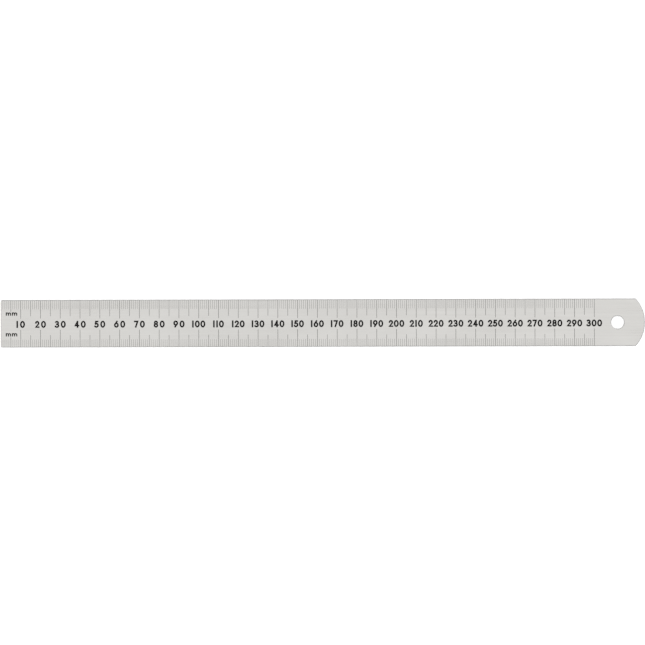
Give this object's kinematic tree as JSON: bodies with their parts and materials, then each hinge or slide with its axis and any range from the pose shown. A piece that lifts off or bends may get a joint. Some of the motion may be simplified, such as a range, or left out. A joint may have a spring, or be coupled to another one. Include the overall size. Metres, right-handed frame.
{
  "type": "steel ruler",
  "caption": "Flat steel rule with millimetre scales along both long edges, a row of figures between them, a square zero end and a rounded end with a hanging hole.",
  "frame": {"origin": "centre of the back face, halfway along the overall length", "axes": "+X from the square zero end to the rounded end, +Y to the edge that the upper scale runs along, +Z out of the graduated face"},
  "size_m": [0.3256, 0.0238, 0.001],
  "materials": {
    "steel": "fine satin stainless steel, pale and evenly brushed along its length",
    "black_fill": "black paint set in the etched lines and figures"
  },
  "bodies": {
    "root": {"blade": "steel", "upper_scale": "black_fill", "lower_scale": "black_fill", "unit_mark_upper": "black_fill", "unit_mark_lower": "black_fill", "figure_10": "black_fill", "figure_20": "black_fill", "figure_30": "black_fill", "figure_40": "black_fill", "figure_50": "black_fill", "figure_60": "black_fill", "figure_70": "black_fill", "figure_80": "black_fill", "figure_90": "black_fill", "figure_100": "black_fill", "figure_110": "black_fill", "figure_120": "black_fill", "figure_130": "black_fill", "figure_140": "black_fill", "figure_150": "black_fill", "figure_160": "black_fill", "figure_170": "black_fill", "figure_180": "black_fill", "figure_190": "black_fill", "figure_200": "black_fill", "figure_210": "black_fill", "figure_220": "black_fill", "figure_230": "black_fill", "figure_240": "black_fill", "figure_250": "black_fill", "figure_260": "black_fill", "figure_270": "black_fill", "figure_280": "black_fill", "figure_290": "black_fill", "figure_300": "black_fill"}
  },
  "joints": []
}
